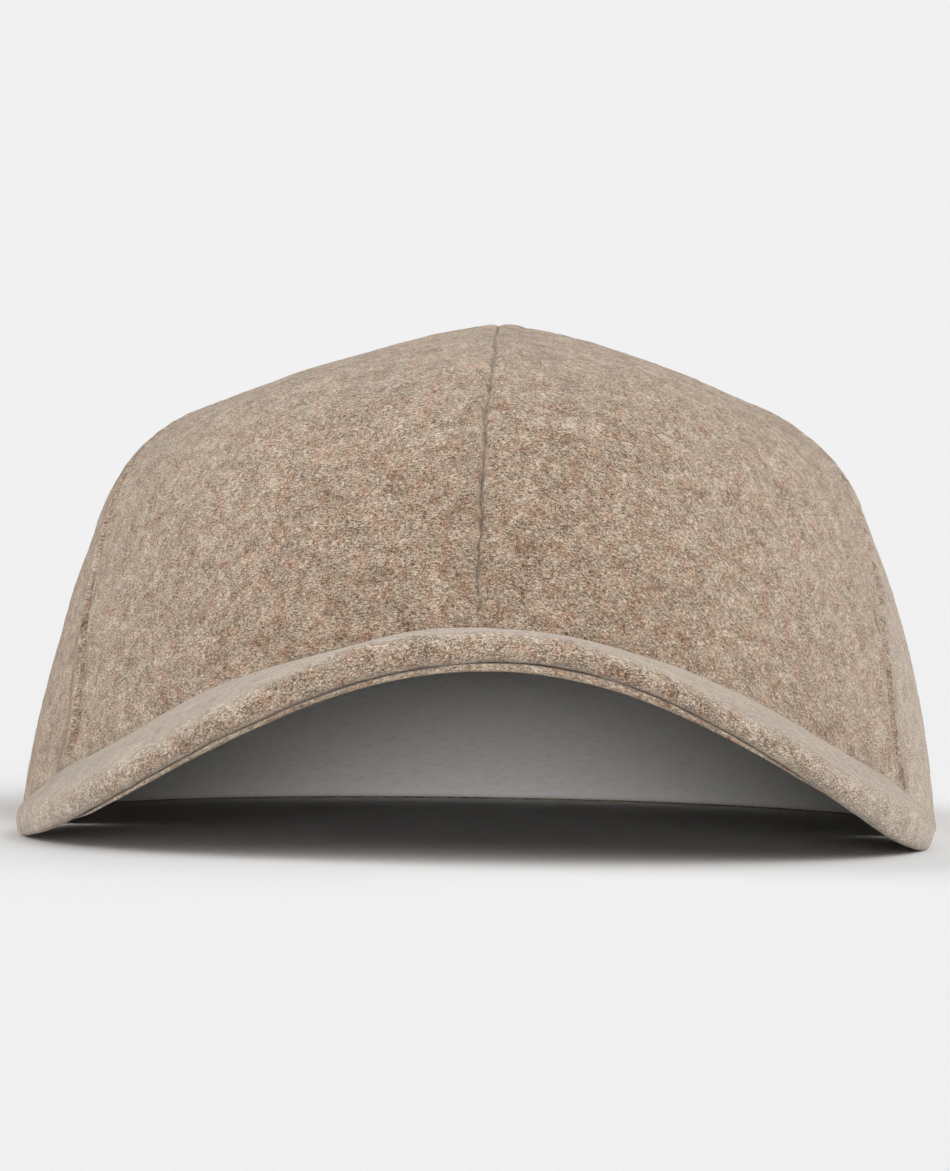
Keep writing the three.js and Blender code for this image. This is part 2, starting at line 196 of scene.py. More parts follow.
# Layers of the flannel's pattern: grain in millimetres, times longer than wide, angle on the cloth,
# how much it wanders, its share of the colour and its share of the relief
FLANNEL = {
    "size": (0.22, 0.22, 0.22, 0.28, 1.3, 4.6, 17.0),
    "stretch": (3.8, 3.0, 2.8, 1.0, 1.5, 1.2, 1.0),
    "angle": (12.0, -38.0, 68.0, 0.0, 8.0, 0.0, 0.0),
    "warp": (0.35, 0.35, 0.35, 0.0, 0.8, 0.5, 0.0),
    "share": (0.4, 0.3, 0.24, 0.26, 0.2, 0.13, 0.035),
    "lift": (0.4, 0.3, 0.24, 0.2, 0.4, 0.0, 0.0),
}


# Small helpers
def smooth(low, high, x):
    """Smooth step: 0 below low, 1 above high, and the cubic 3t2 - 2t3 between them."""
    t = np.clip((x - low) / (high - low), 0.0, 1.0)
    return t * t * (3.0 - 2.0 * t)


def bump(distance, width):
    """Bell curve exp(-(d/w)2): 1 at no distance, fading over the width."""
    return np.exp(-((distance / width) ** 2))


def linear(colour):
    """An sRGB hex such as #A99481 as the linear colour that Blender's sockets take."""
    parts = [int(colour[i : i + 2], 16) / 255.0 for i in (1, 3, 5)]
    parts = [c / 12.92 if c <= 0.04045 else ((c + 0.055) / 1.055) ** 2.4 for c in parts]
    return tuple(parts) + (1.0,)


def wobble(points, wave, seed, count=12):
    """Smooth noise of about -1 to 1: sine waves of about one length in seeded directions and phases, summed
    and divided by the root of their number."""
    rng = np.random.default_rng(seed)
    ways = rng.normal(size=(count, points.shape[-1]))
    ways /= np.linalg.norm(ways, axis=1, keepdims=True)
    rate = 2.0 * np.pi / (wave * rng.uniform(0.7, 1.4, count))
    phase = rng.uniform(0.0, 2.0 * np.pi, count)
    total = np.zeros(points.shape[:-1])
    for way, speed, start in zip(ways, rate, phase):
        total += np.sin(points @ way * speed + start)
    return total / math.sqrt(count)


def reach_along(points, axis):
    """Length walked along one axis of a grid of points: the running sum of the steps."""
    steps = np.linalg.norm(np.diff(points, axis=axis), axis=-1)
    start = np.zeros_like(np.take(steps, [0], axis=axis))
    return np.cumsum(np.concatenate([start, steps], axis=axis), axis=axis)


# Crown surface
def column(name, level):
    """One column of the crown's table at any level: Catmull-Rom curve through its rows."""
    rows = np.asarray(LEVELS[name])
    ext = np.concatenate([[2 * rows[0] - rows[1]], rows, [2 * rows[-1] - rows[-2]]])
    i = np.clip(np.floor(level), 0, len(rows) - 2).astype(int)
    t = level - i
    a, b, c, d = ext[i], ext[i + 1], ext[i + 2], ext[i + 3]
    return b + 0.5 * t * (c - a + t * (2 * a - 5 * b + 4 * c - d + t * (3 * (b - c) + d - a)))


def seam_wander(table, level):
    """How far a seam wanders at a level, in radians: its table with the corners averaged away."""
    near = np.linspace(-0.3, 0.3, 7)
    turns = [np.interp(level + step, table["level"], table["turn"]) for step in near]
    return np.radians(np.mean(turns, axis=0))


def crown(level, turn):
    """The bare crown: an ellipse at each level whose reaches and heights come from the table, the heights
    blended by sine and cosine squared of the turn, ridged along the front seam and leaning at the crest."""
    c, s = np.cos(turn), np.sin(turn)
    in_front = c >= 0
    crease = 1 - np.exp(-np.abs(np.sin(turn - seam_wander(FRONT_SEAM, level))) / 0.22)
    upper = smooth(3, 6, level) * (1 - smooth(TOP_LEVEL - 1, TOP_LEVEL, level))
    fall = RIDGE * crease * bump(s, 0.9) * upper
    end_z = np.where(in_front, column("front_z", level), column("back_z", level))
    end = np.where(in_front, column("front", level), column("back", level))
    z = column("side_z", level) * s * s + end_z * c * c - fall
    side = column("side", level) * s
    x = side + CREST_LEAN * smooth(CREST_FROM, CREST_TO, z) - CROWN_TILT * z
    return np.stack([x, CROWN_CENTRE_Y - end * c, z * (1 + CROWN_TILT * side / CROWN_TOP)], axis=-1)


def crown_normal(level, turn, span=0.01):
    """Outward normal of the bare crown from its two central differences."""
    e = 0.01
    up = crown(np.minimum(TOP_LEVEL, level + e), turn) - crown(np.maximum(0, level - e), turn)
    across = crown(level, turn + span) - crown(level, turn - span)
    n = np.cross(across, up)
    return n / np.linalg.norm(n, axis=-1, keepdims=True)


def arch(x):
    """Height of the peak's underside: rise times (1 - t2) to a power, t running from 0 at the arch's top
    to 1 at its foot."""
    t = (x - PEAK_ARCH_OFFSET) / PEAK_ARCH_SPAN
    return PEAK_RISE * np.maximum(0.0, 1 - t * t) ** PEAK_ARCH_POWER


def arch_slope(x):
    """Slope of that arch by a central difference."""
    return (arch(x + 0.05) - arch(x - 0.05)) / 0.1


def root_lift(x):
    """How much higher the sides of the peak's root stand than the sides of its front edge."""
    return np.where(x > 0, PEAK_ROOT_LIFT_LEFT, PEAK_ROOT_LIFT_RIGHT) * smooth(18, 52, np.abs(x))


def hem_height(x, turn, clearance):
    """Height of the hem: over the peak's upper side in front, down to the floor at the sides and back."""
    degrees = np.degrees(np.abs((turn + np.pi) % (2 * np.pi) - np.pi))
    over = arch(x) + root_lift(x) + (LOWER + LAYER_GAP + UPPER + clearance) * np.hypot(1, arch_slope(x))
    return over * (1 - smooth(HEM_DROP_START, HEM_DROP_END, degrees))


def hem_level(turn, clearance=HEM_CLEARANCE):
    """Level at which the crown meets its hem, found by halving the interval."""
    low, high = np.zeros_like(turn), np.full_like(turn, 4.0)
    for _ in range(36):
        mid = (low + high) / 2
        p = crown(mid, turn)
        below = p[..., 2] < hem_height(p[..., 0], turn, clearance)
        low, high = np.where(below, mid, low), np.where(below, high, mid)
    return low


def seam_turn(index, level):
    """Turn of a seam at a level: from its place at the hem to its place at the top by a power of the level,
    with its own wander from its table and the small sine waves that hand guiding leaves."""
    hem, top = SEAMS["hem"][index], SEAMS["top"][index]
    seam = index % 6
    wander = sum(size * np.sin(rate * level + phase * seam) for size, rate, phase in zip(*HAND.values()))
    tables = {0: FRONT_SEAM, 1: LEFT_SEAM, 5: RIGHT_SEAM}
    own = seam_wander(tables[seam], level) if seam in tables else 0.0
    climb = (top - hem) * (level / TOP_LEVEL) ** SEAM_BEND
    return np.radians(hem + climb + wander * (level < TOP_LEVEL)) + own


# Meshes
def shell_faces(rows, columns):
    """Quads of a closed body made of an outer and an inner grid joined along all four edges."""
    half = rows * columns
    at = np.arange(half).reshape(rows, columns)
    a, b, c, d = at[:-1, :-1], at[:-1, 1:], at[1:, 1:], at[1:, :-1]
    outer = np.stack([a, b, c, d], -1).reshape(-1, 4)
    inner = np.stack([a, d, c, b], -1).reshape(-1, 4) + half

    def edge(line, flip):
        p, q = line[:-1], line[1:]
        quad = [p, p + half, q + half, q] if flip else [p, q, q + half, p + half]
        return np.stack(quad, -1)

    return np.concatenate(
        [outer, inner, edge(at[0], True), edge(at[-1], False), edge(at[:, 0], False), edge(at[:, -1], True)]
    )


def loft_faces(loops, n, ring):
    """Quads between closed loops of n points, and a face over each end unless the loft is a ring."""
    at = np.arange(loops * n).reshape(loops, n)
    a = at if ring else at[:-1]
    b = np.roll(at, -1, axis=0) if ring else at[1:]
    quads = np.stack([a, np.roll(a, -1, 1), np.roll(b, -1, 1), b], -1).reshape(-1, 4)
    caps = [] if ring else [at[0][::-1].tolist(), at[-1].tolist()]
    return quads, caps


def make_piece(name, points, faces, caps=(), uv=None, sharp=60.0):
    """A mesh object at the origin from points in millimetres, its faces smooth and its UV map in metres."""
    mesh = bpy.data.meshes.new(name)
    mesh.from_pydata((np.asarray(points) * MM).tolist(), [], faces.tolist() + list(caps))
    mesh.polygons.foreach_set("use_smooth", np.ones(len(mesh.polygons), dtype=bool))
    mesh.set_sharp_from_angle(angle=math.radians(sharp))
    if uv is not None:
        layer = mesh.uv_layers.new(name="cloth")
        corners = np.empty(len(mesh.loops), dtype=np.int64)
        mesh.loops.foreach_get("vertex_index", corners)
        layer.data.foreach_set("uv", (np.asarray(uv)[corners] * MM).astype(np.float32).ravel())
    mesh.update()
    piece = bpy.data.objects.new(name, mesh)
    bpy.context.scene.collection.objects.link(piece)
    return piece


def vertices_of(piece):
    """A piece's vertices in millimetres."""
    flat = np.empty(len(piece.data.vertices) * 3)
    piece.data.vertices.foreach_get("co", flat)
    return flat.reshape(-1, 3) / MM


# Materials
def node(tree, kind, inputs=None, **settings):
    """Adds a node with its settings; an input that is a socket is linked, any other is its value."""
    made = tree.nodes.new(kind)
    for key, value in settings.items():
        setattr(made, key, value)
    for socket, value in (inputs or {}).items():
        if isinstance(value, bpy.types.NodeSocket):
            tree.links.new(value, made.inputs[socket])
        else:
            made.inputs[socket].default_value = value
    return made


def new_material(name):
    """An empty node material."""
    material = bpy.data.materials.new(name)
    material.use_nodes = True
    material.node_tree.nodes.clear()
    return material, material.node_tree


def ramp(tree, factor, stops):
    """A colour ramp of (place, sRGB hex) stops."""
    made = node(tree, "ShaderNodeValToRGB", {"Fac": factor})
    elements = made.color_ramp.elements
    while len(elements) < len(stops):
        elements.new(0.5)
    for element, (place, colour) in zip(elements, stops):
        element.position = place
        element.color = linear(colour)
    return made.outputs["Color"]


def brushed_wool_flannel(name, values, bloom, half):
    """Brushed wool flannel, spun from fleece of several browns and beiges, woven and raised with wires. The
    eye gets no weave but a soft heather: short fibres of mixed shades lying in all directions with a lean
    along the cloth, cloudy patches where one shade gathers, and a pale bloom of fuzz at grazing angles,
    which is stronger where the cloth is stretched flat."""
    material, tree = new_material(name)
    cloth = node(tree, "ShaderNodeUVMap", uv_map="cloth").outputs["UV"]

    def noise(size_mm, detail, stretch=(1.0, 1.0), angle=0.0, warp=0.0, offset=0.0):
        place = node(
            tree,
            "ShaderNodeMapping",
            {
                "Vector": cloth,
                "Location": (offset, offset * 0.7, 0.0),
                "Rotation": (0.0, 0.0, math.radians(angle)),
            },
        ).outputs["Vector"]
        place = node(
            tree,
            "ShaderNodeMapping",
            {"Vector": place, "Scale": (1.0 / stretch[0], 1.0 / stretch[1], 1.0)},
        ).outputs["Vector"]
        made = node(
            tree,
            "ShaderNodeTexNoise",
            {
                "Vector": place,
                "Scale": 1.0 / (size_mm * MM),
                "Detail": detail,
                "Roughness": 0.6,
                "Distortion": warp,
            },
            noise_dimensions="2D",
        )
        return made.outputs["Fac"]

    def mix(operation, a, b):
        return node(tree, "ShaderNodeMath", {0: a, 1: b}, operation=operation).outputs[0]

    def add(layer, share, rest):
        sockets = {0: layer, 1: share, 2: rest}
        return node(tree, "ShaderNodeMath", sockets, operation="MULTIPLY_ADD").outputs[0]

    # Raised fibres about 1 mm long and 0.24 mm wide in tufts, drawn a little coarser than single hairs
    total, relief = None, None
    for size, stretch, angle, warp, share, lift in zip(*FLANNEL.values()):
        layer = noise(size, 2.0, (stretch, 1.0), angle, warp, 0.01 + 0.37 * size)
        total = mix("MULTIPLY", layer, share) if total is None else add(layer, share, total)
        relief = mix("MULTIPLY", layer, lift) if relief is None else add(layer, lift, relief)
    middle = sum(FLANNEL["share"]) / 2
    spread = node(
        tree,
        "ShaderNodeMapRange",
        {"Value": total, "From Min": middle - half, "From Max": middle + half},
    ).outputs[0]
    heather = ramp(
        tree,
        spread,
        (
            (0.0, values.dark_fibre),
            (0.3, values.brown_fibre),
            (0.52, values.wool_colour),
            (0.75, values.beige_fibre),
            (1.0, values.pale_fibre),
        ),
    )
    # Patches of about 3 mm where russet fleece gathers
    russet_amount = node(
        tree,
        "ShaderNodeMapRange",
        {
            "Value": noise(3.2, 2.0, offset=0.09),
            "From Min": 0.45,
            "From Max": 0.72,
            "To Min": 0.0,
            "To Max": 0.5,
        },
    ).outputs[0]
    coloured = node(
        tree,
        "ShaderNodeMix",
        {"Factor": russet_amount, "A": heather, "B": linear(values.russet_tint)},
        data_type="RGBA",
        blend_type="SOFT_LIGHT",
    )
    coloured = coloured.outputs["Result"]
    raised = node(
        tree,
        "ShaderNodeBump",
        {"Height": relief, "Strength": 0.8, "Distance": 0.0007},
    ).outputs["Normal"]
    surface = node(
        tree,
        "ShaderNodeBsdfPrincipled",
        {
            "Base Color": coloured,
            "Roughness": 0.95,
            "IOR": 1.54,
            "Specular IOR Level": 0.15,
            "Sheen Weight": bloom,
            "Sheen Roughness": 0.35,
            "Sheen Tint": linear("#F8F2EA"),
            "Normal": raised,
        },
    )
    node(tree, "ShaderNodeOutputMaterial", {"Surface": surface.outputs["BSDF"]})
    return material


def woven_cotton_tape(name, colour):
    """Plain woven cotton tape, close and matt: the eye gets an even pale band with a faint slub of thicker
    yarns along it, no weave from where the cap is seen."""
    material, tree = new_material(name)
    place = node(tree, "ShaderNodeTexCoord").outputs["Object"]
    # Slubs 2 mm long and 0.6 mm high, about three yarns: coarser than the 0.2 mm yarn so that they show
    laid = node(tree, "ShaderNodeMapping", {"Vector": place, "Scale": (0.3, 0.3, 1.0)}).outputs["Vector"]
    grain = {"Vector": laid, "Scale": 1.0 / (0.6 * MM), "Detail": 2.0}
    slub = node(tree, "ShaderNodeTexNoise", grain).outputs["Fac"]
    tint = ramp(tree, slub, ((0.25, "#E6E3DD"), (0.5, colour), (0.75, "#F3F1EE")))
    relief = {"Height": slub, "Strength": 0.2, "Distance": 0.0002}
    raised = node(tree, "ShaderNodeBump", relief).outputs["Normal"]
    surface = node(
        tree,
        "ShaderNodeBsdfPrincipled",
        {
            "Base Color": tint,
            "Roughness": 0.9,
            "IOR": 1.53,
            "Specular IOR Level": 0.2,
            "Sheen Weight": 0.1,
            "Normal": raised,
        },
    )
    node(tree, "ShaderNodeOutputMaterial", {"Surface": surface.outputs["BSDF"]})
    return material


def studio_paper(name, albedo):
    """Matt seamless paper of one pale grey, so that the floor runs into the backdrop unseen."""
    material, tree = new_material(name)
    surface = node(
        tree,
        "ShaderNodeBsdfDiffuse",
        {"Color": (albedo, albedo, albedo, 1.0), "Roughness": 0.0},
    )
    node(tree, "ShaderNodeOutputMaterial", {"Surface": surface.outputs["BSDF"]})
    return material


def shared(name, make):
    """The material of that name, made once."""
    return bpy.data.materials.get(name) or make()


def wool(part, values):
    """The flannel of one part of the cap, by how strongly its nap blooms there."""
    name = "brushed_wool_flannel_" + part
    return shared(name, lambda: brushed_wool_flannel(name, values, BLOOM[part], SPREAD[part]))


# Settings
class CapSizes(bpy.types.PropertyGroup):
    """Sizes of the cloth and of how it is sewn."""

    cloth_thickness: bpy.props.FloatProperty(
        name="Cloth thickness",
        description="Wall of the wool panels",
        default=0.002,
        min=0.001,
        max=0.003,
        unit="LENGTH",
    )
    seam_depth: bpy.props.FloatProperty(
        name="Seam depth",
        description="How far a seam sinks into the crown",
        default=0.001,
        min=0.0,
        max=0.002,
        unit="LENGTH",
    )
    welt_rise: bpy.props.FloatProperty(
        name="Welt rise",
        description="How far the folded seam allowance lifts the cloth",
        default=0.00035,
        min=0.0,
        max=0.0015,
        unit="LENGTH",
    )
    pucker: bpy.props.FloatProperty(
        name="Pucker",
        description="Height of the small gathers along a seam",
        default=0.00025,
        min=0.0,
        max=0.001,
        unit="LENGTH",
    )
    softness: bpy.props.FloatProperty(
        name="Softness",
        description="Share of the crown's dents and swells that shows",
        default=1.0,
        min=0.0,
        max=2.0,
        subtype="FACTOR",
    )
    band_thickness: bpy.props.FloatProperty(
        name="Sweatband thickness",
        description="Thickness of the inner band",
        default=0.0012,
        min=0.0005,
        max=0.002,
        unit="LENGTH",
    )
    button_radius: bpy.props.FloatProperty(
        name="Button radius",
        description="Radius of the covered button",
        default=0.0065,
        min=0.005,
        max=0.008,
        unit="LENGTH",
    )


class CapColours(bpy.types.PropertyGroup):
    """Shades of fleece spun into the flannel, and the band's colour, as sRGB hex."""

    dark_fibre: bpy.props.StringProperty(
        name="Dark fibre",
        description="Darkest brown fleece",
        default="#4E4238",
    )
    brown_fibre: bpy.props.StringProperty(
        name="Brown fibre",
        description="Middle brown fleece",
        default="#7E6E5F",
    )
    wool_colour: bpy.props.StringProperty(
        name="Wool",
        description="The flannel's main shade",
        default="#9D8B78",
    )
    beige_fibre: bpy.props.StringProperty(
        name="Beige fibre",
        description="Light beige fleece",
        default="#B7A794",
    )
    pale_fibre: bpy.props.StringProperty(
        name="Pale fibre",
        description="Palest fleece",
        default="#D4C5B4",
    )
    russet_tint: bpy.props.StringProperty(
        name="Russet tint",
        description="Warm tint of some patches",
        default="#A0705C",
    )
    band_colour: bpy.props.StringProperty(
        name="Band",
        description="Sweatband colour",
        default="#EFEDE9",
    )
    floor_albedo: bpy.props.FloatProperty(
        name="Floor",
        description="Share of light that the floor gives back",
        default=0.724,
        min=0.0,
        max=1.0,
        subtype="FACTOR",
    )


# Operators
def seam_relief(distance, along, top, sizes, seam, side):
    """Height beside a seam: a narrow groove and a wide roll into it, both bell curves that waves make
    uneven, the welt of the folded allowance, smooth steps up and down, and gathers that fade away."""
    look = {key: values[seam] for key, values in SEAM_LOOK.items()}
    depth = look["groove"] * sizes.seam_depth / MM
    groove = -depth * bump(distance, GROOVE_WIDTH) - ROLL_SHARE * depth * bump(distance, ROLL_WIDTH)
    here = np.stack([along, np.full_like(along, seam * 7.0)], axis=-1)
    uneven = 1.0
    for length, share, seed in zip(*GROOVE_WAVES.values()):
        uneven = uneven + share * wobble(here, length, seam + seed, 6)
    closing = 1 - CLOSE_SHARE * bump(top - CLOSE_AT, CLOSE_WIDTH)
    groove = groove * (0.5 + 0.5 * smooth(1.0, 9.0, along)) * closing * np.maximum(0.2, uneven)
    welt = smooth(*WELT_RISES, distance) * (1 - smooth(*WELT_ENDS, distance))
    lift = look[side] * sizes.welt_rise / MM * welt
    waves = wobble(here, GATHER_LENGTH, seam + 11, 6) * bump(distance, GATHER_REACH)
    gathers = look["gathers"] * sizes.pucker / MM * waves
    sway = wobble(here, SWAY_LENGTH, seam + 61, 4) * bump(distance, SWAY_REACH)
    return groove + lift + gathers + SWAY_HEIGHT * look["gathers"] * sway


def panel_surfaces(index, sizes, rows=170, columns=92):
    """A panel's outer and inner grids: bare crown between two seams, pushed along its normal by the seams'
    relief, the soft dents and a small unevenness of the cloth, its hem rounded over the last half
    millimetre."""
    # Rows stand closer towards the hem and columns towards the seams, where the detail is
    share = np.linspace(0.0, 1.0, rows)[:, None] ** 1.12
    even = np.linspace(0.0, 1.0, columns)
    part = (even - 0.13 * np.sin(2 * np.pi * even))[None, :]
    level = np.zeros((rows, columns))
    for _ in range(3):
        a, b = seam_turn(index, level), seam_turn(index + 1, level)
        turn = a + (b - a) * part
        start = hem_level(turn, HEM_HANG)
        level = start + (TOP_LEVEL - start) * share
    a, b = seam_turn(index, level), seam_turn(index + 1, level)
    around = np.hypot(column("side", level), column("front", level)) / math.sqrt(2)
    inset = 0.01 / around
    turn = a + inset + (b - a - 2 * inset) * part
    base = crown(level, turn)
    normal = crown_normal(level, turn)
    for edge, seam in ((0, index), (-1, index + 1)):
        normal[:, edge] = crown_normal(level[:, edge], seam_turn(seam, level[:, edge]), 0.06)
    across = reach_along(base, 1)
    upward = reach_along(base, 0)
    from_left, from_right = across, across[:, -1:] - across
    fade = 1 - smooth(TOP_LEVEL - 1.0, TOP_LEVEL, level)
    top = level / TOP_LEVEL
    relief = seam_relief(from_left, upward, top, sizes, index, "far")
    relief = relief + seam_relief(from_right, upward, top, sizes, (index + 1) % 6, "near")
    relief = relief * smooth(0.0, 4.0, upward)
    degrees = np.degrees(turn)
    for at, height, round_, up, push in zip(*SLUMPS.values()):
        off = (degrees - at + 180) % 360 - 180
        near = bump(np.radians(off) * around, round_) * bump(base[..., 2] - height, up)
        relief = relief + sizes.softness * push * near
    for length, height, seed, count in zip(*CLOTH.values()):
        relief = relief + sizes.softness * height * wobble(base, length, seed, count)
    relief = relief * fade
    hem_roll = -0.15 * (1 - smooth(0.0, 0.6, upward))
    wall = sizes.cloth_thickness / MM
    outer = base + normal * (relief + hem_roll)[..., None]
    sink = np.minimum(relief, 0.0)
    inner = base + normal * (sink - wall)[..., None]
    flat = normal[0].copy()
    flat[:, 2] = 0
    flat /= np.linalg.norm(flat, axis=-1, keepdims=True)
    inner[0] = base[0] - flat * wall
    for grid in (outer, inner):
        grid[0, :, 2] = hem_height(grid[0, :, 0], turn[0], HEM_HANG)
        grid[..., 2] = np.maximum(grid[..., 2], 0.0)
    # Each panel is cut from its own place of the cloth
    middle = columns // 2
    across, upward = reach_along(outer, 1), reach_along(outer, 0)
    uv = np.stack([across - across[:, middle : middle + 1] + 40.0 * index, upward + 9.0 * index], axis=-1)
    return outer, inner, uv


class CAP_OT_crown(bpy.types.Operator):
    """Make the six wool panels of the crown"""

    bl_idname = "cap.crown"
    bl_label = "Crown panels"

    def execute(self, context):
        sizes, colours = context.scene.cap_sizes, context.scene.cap_colours
        for index, name in enumerate(PANELS):
            # The side panel on the wearer's left takes a lit copy of the flannel: its stronger sheen is
            # painted light for the light falling on that side
            part = "sheen_lit_side" if name == "side_panel_left" else "crown"
            outer, inner, uv = panel_surfaces(index, sizes)
            rows, columns = outer.shape[:2]
            points = np.concatenate([outer.reshape(-1, 3), inner.reshape(-1, 3)])
            coords = np.concatenate([uv.reshape(-1, 2)] * 2)
            piece = make_piece(name + "_wool", points, shell_faces(rows, columns), uv=coords)
            piece.data.materials.append(wool(part, colours))
            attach(piece, "root")
            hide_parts(name)
        return {"FINISHED"}


def root_plan(u):
    """Plan of the peak's root: the crown's rim over the turn of the peak, moved in by the crown's wall."""
    turn = u * math.radians(PEAK_TURN)
    level = hem_level(turn)
    flat = crown_normal(level, turn)
    flat[..., 2] = 0
    flat /= np.linalg.norm(flat, axis=-1, keepdims=True)
    return (crown(level, turn) - flat * CROWN_WALL)[..., :2]


def edge_plan(u):
    """Plan of the peak's free edge: half a superellipse whose sides draw in towards the hem."""
    t = u * math.pi / 2
    power = 2 / PEAK_ROUNDNESS
    c = np.maximum(0.0, np.cos(t))
    y = PEAK_BACK_Y - (PEAK_BACK_Y - PEAK_FRONT_Y) * c**power
    drawn = 1 - PEAK_DRAW_IN * smooth(PEAK_DRAW_FROM, PEAK_BACK_Y, y)
    x = PEAK_HALF_WIDTH * drawn * np.sign(t) * np.abs(np.sin(t)) ** power + PEAK_OUTLINE_OFFSET * c**0.25
    return np.stack([x, CROWN_CENTRE_Y + y], axis=-1)


def peak_section(columns=260):
    """What the peak's sections share: root, way to the edge, length, and the lip and droop at each place.
    A sine of the way along sets how far apart they stand."""
    u = np.linspace(-1.0, 1.0, columns)
    u = u - 0.1 * np.sin(np.pi * u) / np.pi
    root, edge = root_plan(u), edge_plan(u)
    way = edge - root
    length = np.linalg.norm(way, axis=-1)
    lip = np.interp(edge[:, 0], LIP["x"], LIP["height"])
    droop = np.interp(edge[:, 0], DROOP["x"], DROOP["depth"])
    return root, way / length[:, None], length, lip, droop


def lay_on_arch(root, way, length, distance, height):
    """Points at a distance from the root and a height off the arch, moved along the arch's normal."""
    x = root[:, :1] + way[:, :1] * distance
    y = root[:, 1:] + way[:, 1:] * distance
    slope = arch_slope(x)
    n = np.hypot(1, slope)
    z = arch(x) + root_lift(x) * (1 - (distance / length[:, None]) ** 2)
    return np.stack([x - slope / n * height, y, z + height / n], axis=-1)


def upper_cover():
    """Loops of the upper cover: flat from the root, round its edge by a superellipse that is rounder above
    than below, and back over the lower cover, its roll hanging down to the lip that shows at each place."""
    root, way, length, lip, droop = peak_section()
    top = LOWER + LAYER_GAP + UPPER
    aside = smooth(12.0, 45.0, np.abs(root[:, 0] + way[:, 0] * length))[:, None]
    roll = ROLL_MIDDLE + ROLL_MORE * aside
    flat = length[:, None] - roll
    angle = np.radians(np.linspace(84, -84, 21))
    power = np.where(angle > 0, 2.1, 2.7)
    out = np.cos(angle) ** (2 / power)
    rise = np.sign(angle) * np.abs(np.sin(angle)) ** (2 / power)
    low = (lip - droop + 0.03)[:, None]
    sink = ROLL_SINK * aside
    half = (top - sink - low) / 2
    over = np.linspace(0.0, 1.0, FLAT_STEPS)
    back = over[::-1]
    tuck = smooth(flat - 4.0, flat, flat * back)
    under = (LOWER + 0.12) * (1 - tuck) + low * tuck
    above = top - sink * smooth(flat - 14.0, flat, flat * over)
    reach = np.where(angle > 0, roll, ROLL_MIDDLE) * out - np.where(angle > 0, 0.0, ROLL_MIDDLE - roll)
    distance = np.concatenate([flat * over, flat + reach, flat * back], axis=1)
    height = np.concatenate([above, low + half * (1 + rise), under], axis=1)
    return lay_on_arch(root, way, length, distance, height), distance, length


def lower_cover():
    """Loops of the lower cover: a flat layer whose rounded edge shows as the lip, and draws back unseen
    where the roll reaches right down."""
    root, way, length, lip, droop = peak_section()
    uneven = LIP_UNEVEN * wobble(length[:, None] * way + root, 7.0, 83, 8)
    setback = LIP_SETBACK + uneven + LIP_HIDDEN * (1 - smooth(0.05, 0.6, lip))
    end = (length - setback)[:, None]
    hidden = smooth(0.12, 0.4, lip)[:, None]
    thick = LOWER + (lip[:, None] - LOWER) * hidden
    radius = thick / 2
    angle = np.radians(np.linspace(80, -80, 13))
    over = np.linspace(0.0, 1.0, FLAT_STEPS)
    back = over[::-1]
    flat = end - radius
    sag = droop[:, None] * hidden
    tuck_over = smooth(flat - 4.0, flat - 1.0, flat * over)
    tuck_back = smooth(flat - 4.0, flat - 1.0, flat * back)
    top = LOWER * (1 - tuck_over) + (thick - sag) * tuck_over
    bottom = -sag * tuck_back
    distance = np.concatenate([flat * over, flat + radius * np.cos(angle), flat * back], axis=1)
    height = np.concatenate([top, radius * (1 + np.sin(angle)) - sag, bottom], axis=1)
    return lay_on_arch(root, way, length, distance, height), distance, length


def lift_peak(points, distance, length, face, amount, seed):
    """Unevenness of cloth stretched over a board: waves along the peak's normal, of one length all over and
    of another near the sewn edge, where they fade inwards."""
    near_edge = np.exp(-(length[:, None] - distance) / PEAK_EDGE_FADE)
    slope = arch_slope(points[..., 0])
    n = np.hypot(1, slope)
    at_edge = wobble(points[..., :2], PEAK_EDGE_WAVE, seed, 8) * near_edge
    all_over = wobble(points[..., :2], PEAK_FIELD_WAVE, seed + 1, 8)
    push = amount * face * PEAK_WAVE * (at_edge + all_over)
    return points + np.stack([-slope / n * push, np.zeros_like(push), push / n], axis=-1)


class CAP_OT_peak(bpy.types.Operator):
    """Make the peak's upper cover with its rolled edge, and the lower cover under it"""

    bl_idname = "cap.peak"
    bl_label = "Peak"

    def execute(self, context):
        colours = context.scene.cap_colours
        for name, make, part, amount, seed in (
            ("peak_upper_cover", upper_cover, "peak", 1.0, 61),
            ("peak_lower_cover", lower_cover, "crown", 0.3, 71),
        ):
            points, distance, length = make()
            loops, n = points.shape[:2]
            # The upper side gets all of the unevenness, the edge less on its way round and the underside none
            face = np.concatenate(
                [np.ones(FLAT_STEPS), np.linspace(1, 0.3, n - 2 * FLAT_STEPS), np.zeros(FLAT_STEPS)]
            )
            points = lift_peak(points, distance, length, face, amount, seed)
            points[..., 2] = np.maximum(points[..., 2], 0.0)
            walk = reach_along(points, 1)
            across = reach_along(points, 0)
            middle = loops // 2
            along = (across - across[middle : middle + 1])[:, EDGE_STEP, None]
            uv = np.stack([along + 0 * walk, walk - walk[:, EDGE_STEP, None]], axis=-1).reshape(-1, 2)
            quads, caps = loft_faces(loops, n, False)
            caps = [cap[::-1] for cap in caps]
            piece = make_piece(name + "_wool", points.reshape(-1, 3), quads[:, ::-1], caps, uv)
            piece.data.materials.append(wool(part, colours))
            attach(piece, "root")
            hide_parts(name)
        return {"FINISHED"}


